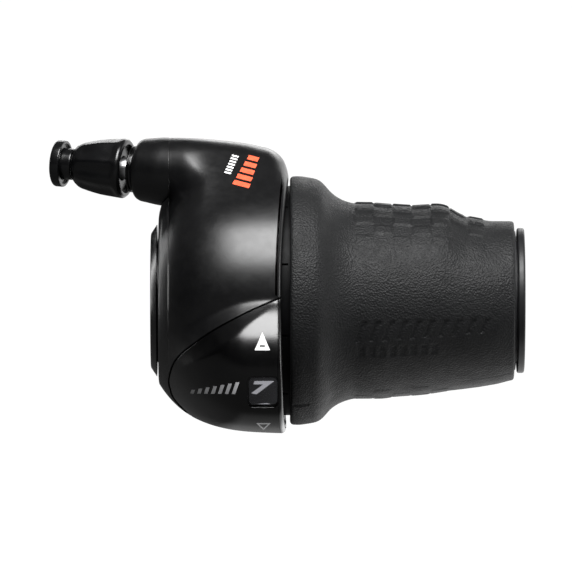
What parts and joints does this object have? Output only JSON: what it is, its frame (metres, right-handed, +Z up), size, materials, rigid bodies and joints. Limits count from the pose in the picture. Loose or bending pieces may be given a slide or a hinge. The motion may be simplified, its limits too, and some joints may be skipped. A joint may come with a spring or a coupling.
{
  "type": "twist-grip gear shifter",
  "caption": "Right-hand twist-grip gear shifter for a bicycle handlebar, with a gear window, a clamp for the bar and a barrel adjuster for the gear cable.",
  "frame": {"origin": "on the handlebar's axis, in the plane of the shifter's inboard face", "axes": "+X along the handlebar towards its outboard end, -Y towards the rider, +Z up"},
  "size_m": [0.0971, 0.0579, 0.0603],
  "materials": {
    "satin_plastic": "satin black moulded plastic",
    "gloss_plastic": "polished black moulded plastic",
    "smoked_window": "smoked clear plastic",
    "grip_rubber": "dark grey rubber with a fine leather grain",
    "nylon": "black glass-filled nylon",
    "number_plastic": "grey plastic printed with gear numbers",
    "steel": "zinc-plated steel",
    "brass": "turned brass"
  },
  "bodies": {
    "housing": {"main_housing": "satin_plastic", "indicator_panel": "gloss_plastic", "window_lens": "smoked_window", "cable_port_cover": "satin_plastic", "cover_screw_1": "steel", "cover_screw_2": "steel", "housing_screw_1": "steel", "housing_screw_2": "steel", "inboard_cap": "gloss_plastic", "mounting_bracket": "nylon", "bar_sleeve": "nylon", "clamp_band": "steel", "clamp_bolt": "steel", "clamp_nut": "steel", "end_ring": "gloss_plastic", "thrust_washer": "nylon", "detent_spring": "steel", "cable_outlet_boss": "satin_plastic", "adjuster_insert": "brass", "adjuster_collar": "gloss_plastic"},
    "grip": {"cable_drum": "nylon", "index_ring": "nylon", "number_ring": "number_plastic", "grip_core": "nylon", "grip_rubber": "grip_rubber"},
    "detent": {"detent_plunger": "steel"},
    "casing_carrier": {"casing_stop": "gloss_plastic"},
    "adjuster": {"adjuster_knob": "gloss_plastic", "adjuster_bolt": "steel"}
  },
  "joints": [
    {"name": "grip_turn", "type": "hinge", "parent": "housing", "child": "grip", "pos_m": [0, 0, 0], "axis": [1, 0, 0], "range_deg": [-120, 0]},
    {"name": "detent_travel", "type": "slide", "parent": "housing", "child": "detent", "axis": [-1, 0, 0], "range_m": [0, 0.0006], "stiffness_N_per_m": 1500, "springref_m": -0.001},
    {"name": "adjuster_travel", "type": "slide", "parent": "housing", "child": "casing_carrier", "axis": [-0.9482, 0.3081, 0.078], "range_m": [-0.0008, 0.0024]},
    {"name": "adjuster_turn", "type": "hinge", "parent": "casing_carrier", "child": "adjuster", "pos_m": [-0.0038, 0.0035, 0.02685], "axis": [-0.9482, 0.3081, 0.078], "range_deg": [-360, 1080]}
  ],
  "couplings": [
    {"joint": "adjuster_turn", "follows": "adjuster_travel", "rad_per_m": 7854}
  ]
}
